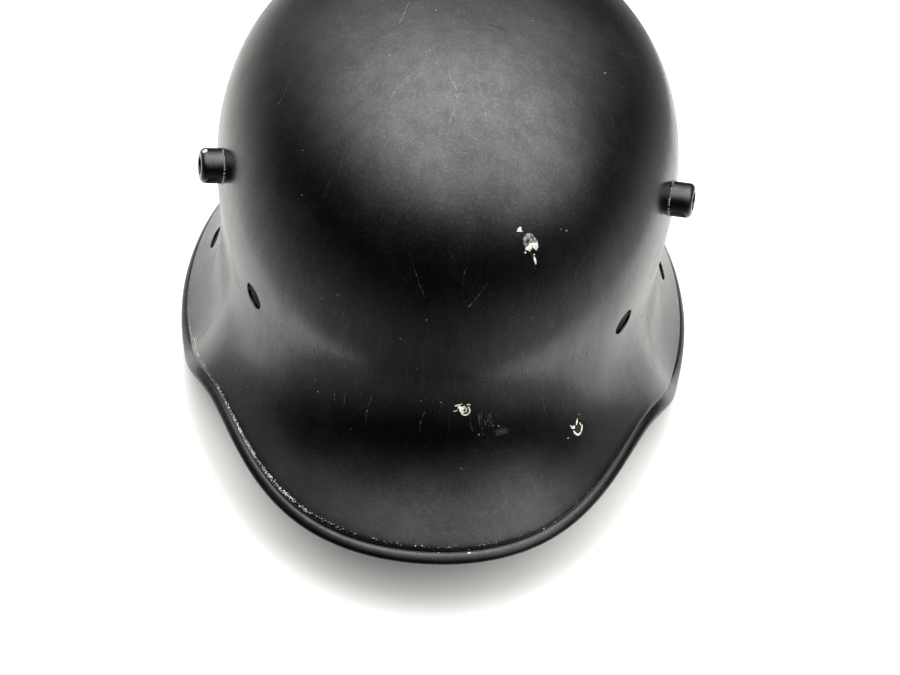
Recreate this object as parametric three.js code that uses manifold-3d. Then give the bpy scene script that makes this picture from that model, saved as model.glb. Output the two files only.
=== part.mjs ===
// Steel helmet with a visor, a flared skirt and two hollow side lugs.
// Millimetres, +Z up. The front faces -Y and +X is the wearer's left.
// The skirt stands on z = 0 and the origin is the middle of the footprint.

import * as THREE from 'three';
import { mergeVertices } from 'three/addons/utils/BufferGeometryUtils.js';
import Module from 'manifold-3d';

const wasm = await Module();
wasm.setup();

// Driving dimensions
const RIM_LENGTH = 294; // visor edge to neck guard edge
const RIM_WIDTH = 232; // across the flared skirt, level with the middle of the crown
const SKULL_LENGTH = 216; // crown's length where its wall stands upright
const SKULL_WIDTH = 185.2; // crown's width where its wall stands upright
const HEIGHT = 184; // top of the crown above what the skirt stands on
const BROW_HEIGHT = 100; // height at the front where the visor leaves the crown
const VISOR_LIFT = 42; // visor edge above what the skirt stands on
const WALL = 1.2; // pressed sheet

const CROWN_SQUARENESS = 2.35; // exponent of the crown's section, 2 is an ellipse

const BAND_WIDTH = 6.4; // folded edge, from the ridge above it to the outermost line
const BAND_STEP = 1.3; // drop from that ridge down to the band
const BAND_STEP_RUN = 1.5; // how far that drop takes
const BAND_STEP_BEND = { run: 0.55, drop: 0.75 }; // where it bends, as shares of run and drop
const BAND_THICKNESS = 3; // two layers of sheet, folded inward
const REST_CUT = 0.3; // depth worn off the band where the skirt stands

const LUG_HEIGHT = 116.3; // centre of the lug's seat
const LUG_AZIMUTH = 76.3; // degrees from the front
const LUG_HEAD_DIAMETER = 13.4;
const LUG_HEAD_LENGTH = 8.2;
const LUG_EDGE_RADIUS = 2.3;
const LUG_BORE = 6.6;
const LUG_SHANK_DIAMETER = 9;
const LUG_COLLAR_DIAMETER = 12;
const LUG_COLLAR_THICKNESS = 1.2;

const HOLE_DIAMETER = 10.4;
const FRONT_HOLE = { azimuth: 48.5, height: 89.7 };
const SIDE_HOLE = { azimuth: 105, height: 24 };

const FIT_GAP = 0.3; // between each lug and the shell, all round
const CUTTER_LENGTH = 14; // of each round cutter, half of it on either side of the sheet's face
const HALVES = [1, -1]; // the wearer's left and right

// Mesh fineness
const COLUMNS = 72;
const CROWN_ROWS = 10;
const FLARE_ROWS = 9;
const HOLE_SIDES = 20;
const LUG_SIDES = 24;
const ROUND_STEPS = 4;
const HALVINGS = 40; // of the travel, when a height is looked for on the surface

// Stations round one side, from the front (0 degrees) to the back (180 degrees).
// rimReach and browReach are shares of the ellipse that the rim's or the skull's length and
// width give in that direction. rimLift is a share of VISOR_LIFT, browLift one of BROW_HEIGHT.
// slope is how steeply the skirt ends, in degrees below level. startPull and endPull say how long
// the flare keeps going straight down and how long it keeps its end slope, as shares of its chord.
const STATIONS = [
  {
    azimuth: 0, rimReach: 0.976, rimLift: 1, browReach: 0.943, browLift: 1.004,
    slope: 36, startPull: 0.42, endPull: 0.45,
  },
  {
    azimuth: 20, rimReach: 0.965, rimLift: 0.943, browReach: 0.936, browLift: 0.984,
    slope: 37, startPull: 0.42, endPull: 0.45,
  },
  {
    azimuth: 40, rimReach: 0.91, rimLift: 0.871, browReach: 0.943, browLift: 0.952,
    slope: 41, startPull: 0.43, endPull: 0.45,
  },
  {
    azimuth: 55, rimReach: 0.903, rimLift: 0.74, browReach: 0.95, browLift: 0.922,
    slope: 47, startPull: 0.45, endPull: 0.43,
  },
  {
    azimuth: 65, rimReach: 0.931, rimLift: 0.531, browReach: 0.956, browLift: 0.903,
    slope: 51, startPull: 0.47, endPull: 0.42,
  },
  {
    azimuth: 75, rimReach: 0.951, rimLift: 0.224, browReach: 0.967, browLift: 0.898,
    slope: 53, startPull: 0.48, endPull: 0.4,
  },
  {
    azimuth: 90, rimReach: 0.993, rimLift: 0, browReach: 0.996, browLift: 0.886,
    slope: 54, startPull: 0.49, endPull: 0.39,
  },
  {
    azimuth: 115, rimReach: 1.047, rimLift: 0, browReach: 1.033, browLift: 0.878,
    slope: 54, startPull: 0.49, endPull: 0.38,
  },
  {
    azimuth: 145, rimReach: 1.053, rimLift: 0, browReach: 1.049, browLift: 0.874,
    slope: 53, startPull: 0.48, endPull: 0.4,
  },
  {
    azimuth: 180, rimReach: 1.024, rimLift: 0.054, browReach: 1.053, browLift: 0.871,
    slope: 53, startPull: 0.47, endPull: 0.42,
  },
];

const radians = THREE.MathUtils.degToRad;

// Smooth curve through one column of the stations, level at the front and at the back, so that
// the two sides of the helmet meet without a crease.
function stationCurve(column) {
  const x = STATIONS.map((station) => station.azimuth);
  const y = STATIONS.map((station) => station[column]);
  const last = x.length - 1;
  const span = (i) => x[i + 1] - x[i];
  const grade = (i) => (y[i + 1] - y[i]) / span(i);

  // Slopes at the stations, from the sweep that solves a three-band system
  const sweep = [0];
  const slopes = [0];
  for (let i = 1; i < last; i += 1) {
    const known = 3 * (grade(i - 1) / span(i - 1) + grade(i) / span(i));
    const pivot = 2 / span(i - 1) + 2 / span(i) - sweep[i - 1] / span(i - 1);
    sweep.push(1 / span(i) / pivot);
    slopes.push((known - slopes[i - 1] / span(i - 1)) / pivot);
  }
  slopes.push(0);
  for (let i = last - 1; i > 0; i -= 1) slopes[i] -= sweep[i] * slopes[i + 1];

  return (azimuth) => {
    const folded = Math.abs(azimuth > 180 ? azimuth - 360 : azimuth);
    let i = 0;
    while (i < last - 1 && folded > x[i + 1]) i += 1;
    const t = (folded - x[i]) / span(i);
    const start = y[i] * (1 + 2 * t) + slopes[i] * span(i) * t;
    const end = y[i + 1] * (3 - 2 * t) + slopes[i + 1] * span(i) * (t - 1);
    return start * (1 - t) ** 2 + end * t ** 2;
  };
}

const rimReach = stationCurve('rimReach');
const rimLift = stationCurve('rimLift');
const browReach = stationCurve('browReach');
const browLift = stationCurve('browLift');
const slopeAt = stationCurve('slope');
const startPull = stationCurve('startPull');
const endPull = stationCurve('endPull');

// Distance from the middle to an ellipse of this length and width, in one direction
function ellipseReach(length, width, azimuth) {
  const across = Math.sin(radians(azimuth)) / (width / 2);
  const along = Math.cos(radians(azimuth)) / (length / 2);
  return 1 / Math.hypot(across, along);
}

// The helmet's outline in the upright plane at one azimuth: the brow, where the wall stands
// upright, and the ridge, where the flare meets the folded band. x is reach, y is height.
function outlineAt(azimuth) {
  const slope = radians(slopeAt(azimuth));
  const down = new THREE.Vector2(Math.cos(slope), -Math.sin(slope));
  const out = new THREE.Vector2(Math.sin(slope), Math.cos(slope));
  const brow = new THREE.Vector2(
    browReach(azimuth) * ellipseReach(SKULL_LENGTH, SKULL_WIDTH, azimuth),
    browLift(azimuth) * BROW_HEIGHT,
  );
  const rim = new THREE.Vector2(
    rimReach(azimuth) * ellipseReach(RIM_LENGTH, RIM_WIDTH, azimuth),
    rimLift(azimuth) * VISOR_LIFT - REST_CUT,
  );
  const ridge = rim.addScaledVector(down, -BAND_WIDTH);
  ridge.addScaledVector(out, BAND_STEP + BAND_THICKNESS / 2);
  return { brow, ridge, down };
}

// The crown's axis lies off the middle of the footprint by this much. The band is round, so its
// outermost line lies a little past the rim that the stations give.
function footprintReach(azimuth) {
  const rounding = (BAND_THICKNESS / 2) * (1 - Math.cos(radians(slopeAt(azimuth))));
  return rimReach(azimuth) * (RIM_LENGTH / 2) + rounding;
}
const CROWN_Y = (footprintReach(0) - footprintReach(180)) / 2;

function place(azimuth, reach, height) {
  const angle = radians(azimuth);
  return new THREE.Vector3(
    reach * Math.sin(angle),
    CROWN_Y - reach * Math.cos(angle),
    height,
  );
}

// Outer surface: travel 0 is the top of the crown, 1 the brow and 2 the ridge of the band
function outerPoint(azimuth, travel) {
  const { brow, ridge, down } = outlineAt(azimuth);
  if (travel <= 1) {
    const turn = travel * Math.PI / 2;
    const power = 2 / CROWN_SQUARENESS;
    const reach = brow.x * Math.sin(turn) ** power;
    const rise = (HEIGHT - brow.y) * Math.max(0, Math.cos(turn)) ** power;
    return place(azimuth, reach, brow.y + rise);
  }
  const chord = brow.distanceTo(ridge);
  const flare = new THREE.CubicBezierCurve(
    brow,
    new THREE.Vector2(brow.x, brow.y - startPull(azimuth) * chord),
    ridge.clone().addScaledVector(down, -endPull(azimuth) * chord),
    ridge,
  );
  const point = flare.getPoint(travel - 1);
  return place(azimuth, point.x, point.y);
}

// Directions on the outer surface: out of it, and down it towards the rim
function outerFrame(azimuth, travel) {
  const turnStep = 0.5;
  const travelStep = 0.002;
  const upper = Math.max(travel - travelStep, travelStep);
  const lower = Math.min(travel + travelStep, 2);
  const around = outerPoint(azimuth + turnStep, travel).sub(outerPoint(azimuth - turnStep, travel));
  const down = outerPoint(azimuth, lower).sub(outerPoint(azimuth, upper));
  const out = down.clone().cross(around).normalize();
  const edgeward = around.normalize().cross(out).normalize();
  return { out, edgeward };
}

// Section of the folded band, as distances edgeward from the ridge and outward from it
function bandSection() {
  const half = BAND_THICKNESS / 2;
  const section = [
    { edgeward: BAND_STEP_RUN * BAND_STEP_BEND.run, outward: -BAND_STEP * BAND_STEP_BEND.drop },
    { edgeward: BAND_STEP_RUN, outward: -BAND_STEP },
  ];
  const centre = { edgeward: BAND_WIDTH - half, outward: -BAND_STEP - half };
  for (let i = 0; i <= ROUND_STEPS; i += 1) {
    const angle = Math.PI / 2 - (Math.PI * i) / ROUND_STEPS;
    section.push({
      edgeward: centre.edgeward + half * Math.cos(angle),
      outward: centre.outward + half * Math.sin(angle),
    });
  }
  section.push({ edgeward: 0, outward: -BAND_STEP - BAND_THICKNESS });
  section.push({ edgeward: -BAND_STEP_RUN, outward: -WALL });
  return section;
}

// One ring of points for each row of the shell, from the top of the crown outside, down over
// the band and back up to the top of the crown inside. grow thickens the sheet on both faces.
function shellRings(grow) {
  const travels = [];
  for (let i = 1; i <= CROWN_ROWS; i += 1) travels.push(i / CROWN_ROWS);
  for (let i = 1; i <= FLARE_ROWS; i += 1) travels.push(1 + i / FLARE_ROWS);

  const azimuths = Array.from({ length: COLUMNS }, (_, i) => (360 * i) / COLUMNS);
  const offsetRing = (travel, distance) => azimuths.map((azimuth) => {
    const { out } = outerFrame(azimuth, travel);
    return outerPoint(azimuth, travel).addScaledVector(out, distance);
  });
  const bandRing = (step) => azimuths.map((azimuth) => {
    const { out, edgeward } = outerFrame(azimuth, 2);
    const ridge = outerPoint(azimuth, 2);
    return ridge.addScaledVector(edgeward, step.edgeward).addScaledVector(out, step.outward);
  });

  const outside = travels.map((travel) => offsetRing(travel, grow));
  const band = bandSection().map(bandRing);
  const inside = travels.slice(0, -1).reverse().map((travel) => offsetRing(travel, -WALL - grow));
  return [...outside, ...band, ...inside];
}

// Closed skin over rings of points, with a single point at each end
function skin(firstPoint, rings, lastPoint) {
  const positions = [firstPoint, ...rings.flat(), lastPoint].flatMap((point) => point.toArray());
  const last = 1 + rings.length * COLUMNS;
  const at = (ring, column) => 1 + ring * COLUMNS + (column % COLUMNS);
  const faces = [];
  for (let i = 0; i < COLUMNS; i += 1) {
    faces.push(0, at(0, i), at(0, i + 1));
    faces.push(last, at(rings.length - 1, i + 1), at(rings.length - 1, i));
    for (let ring = 0; ring < rings.length - 1; ring += 1) {
      faces.push(at(ring, i), at(ring + 1, i), at(ring + 1, i + 1));
      faces.push(at(ring, i), at(ring + 1, i + 1), at(ring, i + 1));
    }
  }
  const geometry = new THREE.BufferGeometry();
  geometry.setAttribute('position', new THREE.Float32BufferAttribute(positions, 3));
  geometry.setIndex(faces);
  return geometry;
}

function toSolid(geometry) {
  const bare = geometry.clone();
  bare.deleteAttribute('normal');
  bare.deleteAttribute('uv');
  const merged = mergeVertices(bare, 1e-4);
  return new wasm.Manifold(new wasm.Mesh({
    numProp: 3,
    vertProperties: Float32Array.from(merged.attributes.position.array),
    triVerts: Uint32Array.from(merged.index.array),
  }));
}

function toGeometry(solid) {
  const mesh = solid.getMesh();
  const geometry = new THREE.BufferGeometry();
  geometry.setAttribute('position', new THREE.BufferAttribute(mesh.vertProperties, 3));
  geometry.setIndex(new THREE.BufferAttribute(mesh.triVerts, 1));
  geometry.computeVertexNormals();
  return geometry;
}

// Where the outer surface stands at a given height, found by halving the travel
function travelAtHeight(azimuth, height) {
  let upper = 0;
  let lower = 2;
  for (let i = 0; i < HALVINGS; i += 1) {
    const middle = (upper + lower) / 2;
    if (outerPoint(azimuth, middle).z > height) upper = middle;
    else lower = middle;
  }
  return (upper + lower) / 2;
}

// Frame that stands on the outer surface: its Y axis points straight out of the sheet
function seatFrame(azimuth, height) {
  const travel = travelAtHeight(azimuth, height);
  const { out } = outerFrame(azimuth, travel);
  const seat = outerPoint(azimuth, travel);
  const turn = new THREE.Quaternion().setFromUnitVectors(new THREE.Vector3(0, 1, 0), out);
  return new THREE.Matrix4().compose(seat, turn, new THREE.Vector3(1, 1, 1));
}

// Round cutter through the sheet
function holeCutter(frame, diameter, sides) {
  const radius = diameter / 2;
  const cutter = new THREE.CylinderGeometry(radius, radius, CUTTER_LENGTH, sides);
  return toSolid(cutter.applyMatrix4(frame));
}

function lathe(points, sides) {
  const closed = [...points, points[0]];
  return new THREE.LatheGeometry(closed.map(([r, y]) => new THREE.Vector2(r, y)), sides);
}

// Head, shank and collar of a lug as one turned body, before the sheet is cut out of it
function lugBlank() {
  const head = LUG_HEAD_DIAMETER / 2;
  const bore = LUG_BORE / 2;
  const collarFoot = -WALL - FIT_GAP - LUG_COLLAR_THICKNESS;
  const points = [
    [bore, collarFoot],
    [LUG_COLLAR_DIAMETER / 2, collarFoot],
    [LUG_COLLAR_DIAMETER / 2, -WALL / 2],
    [head, -WALL / 2],
  ];
  for (let i = 0; i <= ROUND_STEPS; i += 1) {
    const angle = (Math.PI / 2) * (i / ROUND_STEPS);
    points.push([
      head - LUG_EDGE_RADIUS * (1 - Math.cos(angle)),
      LUG_HEAD_LENGTH - LUG_EDGE_RADIUS * (1 - Math.sin(angle)),
    ]);
  }
  points.push([bore, LUG_HEAD_LENGTH]);
  return lathe(points, LUG_SIDES);
}

function shellSolid(grow) {
  const rings = shellRings(grow);
  const top = new THREE.Vector3(0, CROWN_Y, HEIGHT + grow);
  const underTop = new THREE.Vector3(0, CROWN_Y, HEIGHT - WALL - grow);
  return toSolid(skin(top, rings, underTop));
}

function cutAll(solid, cutters) {
  return cutters.reduce((rest, cutter) => rest.subtract(cutter), solid);
}

// Slab below the surface that the helmet stands on
function slabUnderRest() {
  const depth = 10;
  const slab = new THREE.BoxGeometry(2 * RIM_WIDTH, 2 * RIM_LENGTH, depth);
  return toSolid(slab.translate(0, 0, -depth / 2));
}

const lugFrames = HALVES.map((half) => seatFrame(half * LUG_AZIMUTH, LUG_HEIGHT));
const holeFrames = [FRONT_HOLE, SIDE_HOLE].flatMap(
  ({ azimuth, height }) => HALVES.map((half) => seatFrame(half * azimuth, height)),
);

function makeShell() {
  const lugHole = LUG_SHANK_DIAMETER + 2 * FIT_GAP;
  return toGeometry(cutAll(shellSolid(0), [
    slabUnderRest(),
    ...holeFrames.map((frame) => holeCutter(frame, HOLE_DIAMETER, HOLE_SIDES)),
    ...lugFrames.map((frame) => holeCutter(frame, lugHole, LUG_SIDES)),
  ]));
}

function makeLug(frame) {
  const blank = toSolid(lugBlank().applyMatrix4(frame));
  const shank = holeCutter(frame, LUG_SHANK_DIAMETER, LUG_SIDES);
  return toGeometry(blank.subtract(shellSolid(FIT_GAP).subtract(shank)));
}

const paintedSteel = new THREE.MeshStandardMaterial({
  color: 0x1b1c1d,
  roughness: 0.38,
  metalness: 0,
});

function named(name, geometry) {
  const mesh = new THREE.Mesh(geometry, paintedSteel.clone());
  mesh.name = name;
  return mesh;
}

const helmet = new THREE.Group();
helmet.add(named('shell', makeShell()));
helmet.add(named('vent_lug_left', makeLug(lugFrames[0])));
helmet.add(named('vent_lug_right', makeLug(lugFrames[1])));

export default helmet;
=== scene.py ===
# %% [markdown]
# # A black steel helmet shell
# The real thing is one pressed sheet of steel with its edge folded over, two hollow lugs and a
# coat of black enamel. Its sizes were settled first in a CAD model, which is loaded here as a
# fixed frame. Everything below is drawn in the same place and to the same sizes as that model.

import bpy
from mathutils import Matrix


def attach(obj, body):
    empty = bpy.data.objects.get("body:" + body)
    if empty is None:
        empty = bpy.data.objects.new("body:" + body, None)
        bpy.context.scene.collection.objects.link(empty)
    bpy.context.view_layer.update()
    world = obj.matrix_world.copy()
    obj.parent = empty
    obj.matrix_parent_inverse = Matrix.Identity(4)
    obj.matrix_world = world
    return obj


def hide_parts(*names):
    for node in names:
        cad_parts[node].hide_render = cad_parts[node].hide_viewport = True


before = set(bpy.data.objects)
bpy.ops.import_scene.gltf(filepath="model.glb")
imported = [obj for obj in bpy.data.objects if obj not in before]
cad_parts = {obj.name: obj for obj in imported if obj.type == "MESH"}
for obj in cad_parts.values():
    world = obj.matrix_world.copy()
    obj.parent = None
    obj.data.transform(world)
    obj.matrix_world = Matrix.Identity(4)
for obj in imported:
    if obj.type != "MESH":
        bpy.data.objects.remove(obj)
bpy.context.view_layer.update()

# %% [markdown]
# ## Colours and nodes
# Blender mixes light in linear values, while a given colour is sRGB, so one function
# turns a hex value into linear. Materials are node trees. Each node needs a kind, some settings
# and some links, so one small function that takes all three keeps every tree short to read.

# %% Helpers for colours and nodes
import math

import bpy
import numpy as np
from mathutils import Quaternion, Vector


def linear(hex_colour):
    """An sRGB colour such as "#c8bfa8" as linear red, green, blue and alpha."""
    shares = [int(hex_colour[i:i + 2], 16) / 255 for i in (1, 3, 5)]
    return (*[s / 12.92 if s <= 0.04045 else ((s + 0.055) / 1.055) ** 2.4 for s in shares], 1)


def node(tree, kind, inputs, **settings):
    """Adds a shader node. inputs gives each socket a value, another node's output, or another
    node, which stands for its first output."""
    new = tree.nodes.new("ShaderNode" + kind)
    for name, value in settings.items():
        setattr(new, name, value)
    for socket, value in inputs.items():
        if isinstance(value, bpy.types.Node):
            value = value.outputs[0]
        if isinstance(value, bpy.types.NodeSocket):
            tree.links.new(value, new.inputs[socket])
        else:
            new.inputs[socket].default_value = value
    return new


print("black enamel, linear:", [round(v, 4) for v in linear("#0b0b0c")])

# %% [markdown]
# ## Camera
# The photo looks down on the front of the helmet from about 45 degrees, from half a metre away,
# and is held with a small tilt. Aiming a camera at a point and then rolling it about its own
# axis gives the same picture with three plain numbers.

# %% Camera
LENS, SENSOR_WIDTH = 52.05, 36  # millimetres
STANDS_AT, AIMS_AT = (-0.00814, -0.38170, 0.46358), Vector((0.00555, -0.05473, 0.060))
ROLL = math.radians(5.826)

camera_data = bpy.data.cameras.new("camera")
camera_data.lens = LENS
camera_data.sensor_width = SENSOR_WIDTH
camera_data.clip_start = 0.02
camera = bpy.data.objects.new("camera", camera_data)
bpy.context.collection.objects.link(camera)
camera.location = STANDS_AT
camera.rotation_mode = "QUATERNION"
level = (AIMS_AT - camera.location).to_track_quat("-Z", "Y")
camera.rotation_quaternion = level @ Quaternion((0, 0, 1), ROLL)
bpy.context.scene.camera = camera
print("camera to aim, metres:", round((AIMS_AT - camera.location).length, 3))

# %% [markdown]
# ## Light
# Gloss shows the room, so a black helmet looks the way its room does. A studio with a few broad
# panels of light, with no hard edges, gives soft highlights. Each panel here is a round glow in
# one direction of the world: its light falls off as e to the power of how far a direction turns
# away from it. Low panels stand for light that comes back from the floor, which is a little
# warmer. The camera itself sees a plain white backdrop instead of the panels.

# %% Soft panels of light
PANELS = [
    # azimuth from the helmet's front in degrees, height in degrees, radiance
    (0, 68, 2.69), (60, 68, 1.83), (120, 68, 3.66), (180, 68, 4.06), (240, 68, 2.83),
    (300, 68, 3.39), (36, 45, 0.25), (72, 45, 3.76), (108, 45, 1.44), (144, 45, 1.28),
    (180, 45, 1.00), (216, 45, 1.60), (252, 45, 1.40), (288, 45, 0.15), (135, 20, 0.14),
    (225, 20, 0.52), (0, -34, 0.16), (45, -34, 0.50), (90, -34, 0.90), (135, -34, 0.40),
    (180, -34, 0.52), (225, -34, 1.30), (270, -34, 0.60), (315, -34, 0.30),
]
# A panel is down to a third of its light 20 degrees off its middle, one below the floor's level
# 27 degrees off it
TIGHTNESS_ABOVE, TIGHTNESS_BELOW = 18, 10

world = bpy.data.worlds.new("soft_studio")
world.use_nodes = True
bpy.context.scene.world = world
sky = world.node_tree
sky.nodes.clear()

direction = node(sky, "TexCoord", {}).outputs["Generated"]
light = {True: 0.0, False: 0.0}  # from above the floor's level, and from below it
for azimuth, height, radiance in PANELS:
    turn, rise = math.radians(azimuth), math.radians(height)
    middle = (math.sin(turn) * math.cos(rise), -math.cos(turn) * math.cos(rise), math.sin(rise))
    nearness = node(sky, "VectorMath", {
        0: direction, 1: middle}, operation="DOT_PRODUCT").outputs["Value"]
    above = height > 0
    tightness = TIGHTNESS_ABOVE if above else TIGHTNESS_BELOW
    falloff = node(sky, "Math", {
        0: nearness, 1: tightness, 2: -tightness}, operation="MULTIPLY_ADD")
    glow = node(sky, "Math", {0: falloff}, operation="EXPONENT")
    light[above] = node(sky, "Math", {
        0: glow, 1: radiance, 2: light[above]}, operation="MULTIPLY_ADD")

lamps = node(sky, "Background", {0: linear("#ffffff"), 1: light[True]})
bounce = node(sky, "Background", {0: linear("#fffffb"), 1: light[False]})
room = node(sky, "AddShader", {0: lamps, 1: bounce})
backdrop = node(sky, "Background", {0: linear("#ffffff"), 1: 1.0})
seen = node(sky, "LightPath", {}).outputs["Is Camera Ray"]
both = node(sky, "MixShader", {0: seen, 1: room, 2: backdrop})
node(sky, "OutputWorld", {"Surface": both})
bpy.context.scene.view_settings.view_transform = "Standard"
print("soft panels:", len(PANELS), "world nodes:", len(sky.nodes))

# %% [markdown]
# ## Floor
# The helmet stands on a plain white floor. Its glow is painted light, which thins the helmet's
# shadow; the glow is left out round the helmet's footprint, which paints a darker shadow near the
# rim. Only the table near the helmet shows in its gloss. The camera sees the wide floor just
# under it, which is kept out of reflections, since the real room is dark beyond the table.

# %% Floor
def add_object(name, mesh, material):
    """Links a mesh into the scene under that name, with one material."""
    mesh.materials.append(material)
    made = bpy.data.objects.new(name, mesh)
    bpy.context.collection.objects.link(made)
    return made


def disc_mesh(name, middle, radius, sides=96):
    """A flat round disc, facing up."""
    turns = np.linspace(0, 2 * math.pi, sides, endpoint=False)
    points = np.stack([np.cos(turns), np.sin(turns), np.zeros(sides)], 1) * radius + middle
    mesh = bpy.data.meshes.new(name)
    mesh.from_pydata(points.tolist(), [], [tuple(range(sides))])
    return mesh


NEAR_TABLE, NEAR_RADIUS, FLOOR_RADIUS = (0.02, 0.08, 0), 0.25, 20
JUST_UNDER = (0, 0, -0.0002)
# Painted light: the floor's glow thins the helmet's shadow, and its absence inside the footprint
# paints the floor darker near the rim
PAINTED_FLOOR_GLOW = 0.55
FOOTPRINT = (0.118, 0.147)  # half the helmet's width and length, in metres
GLOW_STARTS, GLOW_FULL = 0.92, 1.1  # as shares of the footprint
matt_table = bpy.data.materials.new("matt_white_laminate")
matt_table.use_nodes = True
shader = matt_table.node_tree.nodes["Principled BSDF"]
shader.inputs["Base Color"].default_value = linear("#cfcfcc")
shader.inputs["Roughness"].default_value = 0.85
shader.inputs["Specular IOR Level"].default_value = 0.2

# A copy of the laminate with painted light: emission that is none inside the helmet's footprint
# and full beyond it
painted_glow_floor = matt_table.copy()
painted_glow_floor.name = "white_laminate_with_painted_glow"
tree = painted_glow_floor.node_tree
place = node(tree, "TexCoord", {}).outputs["Object"]
in_footprint = node(tree, "VectorMath", {
    0: place, 1: (1 / FOOTPRINT[0], 1 / FOOTPRINT[1], 0)}, operation="MULTIPLY")
from_middle = node(tree, "VectorMath", {0: in_footprint}, operation="LENGTH")
glow = node(tree, "MapRange", {
    0: from_middle.outputs["Value"], 1: GLOW_STARTS, 2: GLOW_FULL, 3: 0.0, 4: PAINTED_FLOOR_GLOW,
}, interpolation_type="SMOOTHSTEP")
shader = tree.nodes["Principled BSDF"]
shader.inputs["Emission Color"].default_value = linear("#ffffff")
tree.links.new(glow.outputs[0], shader.inputs["Emission Strength"])

near_table = add_object(
    "near_table", disc_mesh("near_table", NEAR_TABLE, NEAR_RADIUS), matt_table)
near_table.visible_camera = near_table.visible_diffuse = near_table.visible_shadow = False
floor_beyond = add_object(
    "floor_beyond", disc_mesh("floor_beyond", JUST_UNDER, FLOOR_RADIUS), painted_glow_floor)
floor_beyond.visible_glossy = False
print("radius of the table that shows in the gloss, metres:", NEAR_RADIUS)

# %% [markdown]
# ## The helmet's form
# A pressed shell has no flat or round part to start from. Its form is set in upright planes
# round the crown's axis: how far out and how high the brow and the rim lie in each, and how
# steeply the skirt ends. Smooth curves through these few stations fill in the rest. The values
# are those of the CAD model, in millimetres and degrees, but for two things that only the gloss
# shows. The last column turns the folded edge out a little at the sides, so that it mirrors the
# dark room, and the end pull is less at the front, which bends the visor closer to its rim.

# %% Sizes and stations
RIM_LENGTH, RIM_WIDTH = 294, 232
SKULL_LENGTH, SKULL_WIDTH = 216, 185.2
HEIGHT, BROW_HEIGHT, VISOR_LIFT = 184, 100, 42
WALL = 1.2
CROWN_SQUARENESS = 2.35
BAND_WIDTH, BAND_STEP, BAND_STEP_RUN, BAND_THICKNESS = 6.4, 1.3, 1.5, 3
REST_CUT = 0.3

STATIONS = np.array([
    # azimuth, rim reach, rim lift, brow reach, brow lift, slope, start pull, end pull, turn out
    (0, 0.976, 1, 0.943, 1.004, 36, 0.42, 0.38, 0),
    (20, 0.965, 0.943, 0.936, 0.984, 37, 0.42, 0.38, 0),
    (40, 0.91, 0.871, 0.943, 0.952, 41, 0.43, 0.40, 1),
    (55, 0.903, 0.74, 0.95, 0.922, 47, 0.45, 0.42, 6),
    (65, 0.931, 0.531, 0.956, 0.903, 51, 0.47, 0.42, 12),
    (75, 0.951, 0.224, 0.967, 0.898, 53, 0.48, 0.4, 14),
    (90, 0.993, 0, 0.996, 0.886, 54, 0.49, 0.39, 14),
    (115, 1.047, 0, 1.033, 0.878, 54, 0.49, 0.38, 14),
    (145, 1.053, 0, 1.049, 0.874, 53, 0.48, 0.4, 12),
    (180, 1.024, 0.054, 1.053, 0.871, 53, 0.47, 0.42, 10),
])


def station_curve(column):
    """Smooth curve through one column of the stations, level at the front and the back."""
    x, y = STATIONS[:, 0], STATIONS[:, column]
    span = np.diff(x)
    grade = np.diff(y) / span
    system, known = np.eye(len(x)), np.zeros(len(x))
    for i in range(1, len(x) - 1):
        system[i, i - 1:i + 2] = 1 / span[i - 1], 2 / span[i - 1] + 2 / span[i], 1 / span[i]
        known[i] = 3 * (grade[i - 1] / span[i - 1] + grade[i] / span[i])
    slopes = np.linalg.solve(system, known)

    def at(azimuth):
        folded = np.abs((azimuth + 180) % 360 - 180)
        i = np.clip(np.searchsorted(x, folded, side="right") - 1, 0, len(x) - 2)
        t = (folded - x[i]) / span[i]
        start = y[i] * (1 + 2 * t) + slopes[i] * span[i] * t
        end = y[i + 1] * (3 - 2 * t) + slopes[i + 1] * span[i] * (t - 1)
        return start * (1 - t) ** 2 + end * t ** 2

    return at


(rim_reach, rim_lift, brow_reach, brow_lift, slope_at, start_pull_at, end_pull_at,
 turn_out_at) = [station_curve(column) for column in range(1, STATIONS.shape[1])]


def ellipse(length, width, azimuth):
    """Distance from the middle to an ellipse of that length and width."""
    turn = np.radians(azimuth)
    return 1 / np.hypot(np.sin(turn) / (width / 2), np.cos(turn) / (length / 2))


def footprint_reach(azimuth):
    rounding = BAND_THICKNESS / 2 * (1 - math.cos(math.radians(slope_at(azimuth))))
    return rim_reach(azimuth) * RIM_LENGTH / 2 + rounding


CROWN_Y = (footprint_reach(0) - footprint_reach(180)) / 2
print("crown's axis lies at y =", round(float(CROWN_Y), 3), "mm")

# %% [markdown]
# ## The outer surface
# A place on the sheet is given by its azimuth and its travel: 0 at the top of the crown, 1 at
# the brow and 2 at the ridge above the folded edge. The crown's section is a squared ellipse and
# the flare is one smooth curve. From neighbouring places come the directions out of the sheet
# and down it, and these carry its thickness, the band, the lugs and the marks in the paint.

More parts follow.
